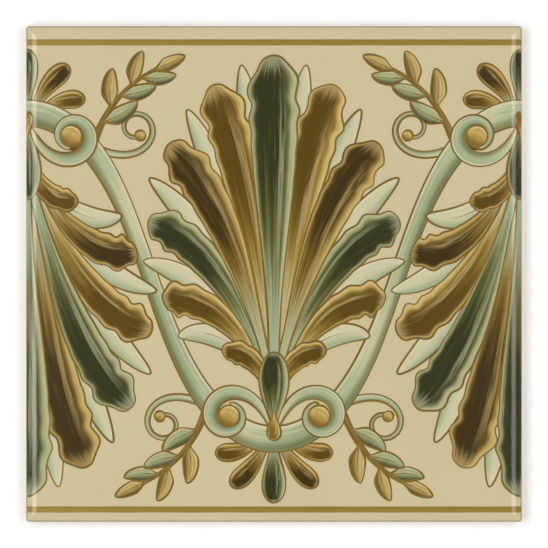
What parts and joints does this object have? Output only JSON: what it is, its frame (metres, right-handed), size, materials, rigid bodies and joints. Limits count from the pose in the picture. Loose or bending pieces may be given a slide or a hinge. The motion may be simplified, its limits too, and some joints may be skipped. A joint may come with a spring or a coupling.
{
  "type": "victorian border tile",
  "caption": "Square glazed ceramic wall tile with a cushioned face edge, soft corners and a keyed back, for a running border.",
  "frame": {"origin": "centre of the back, in the plane of its ribs, which is the plane that the tile lies on", "axes": "+X along the border to the right, +Y to the top of the pattern, +Z out of the glazed face"},
  "size_m": [0.152, 0.152, 0.007],
  "materials": {
    "glazed_tile": "gloss cream glaze over a buff biscuit body"
  },
  "bodies": {
    "root": {"border_tile": "glazed_tile"}
  },
  "joints": []
}
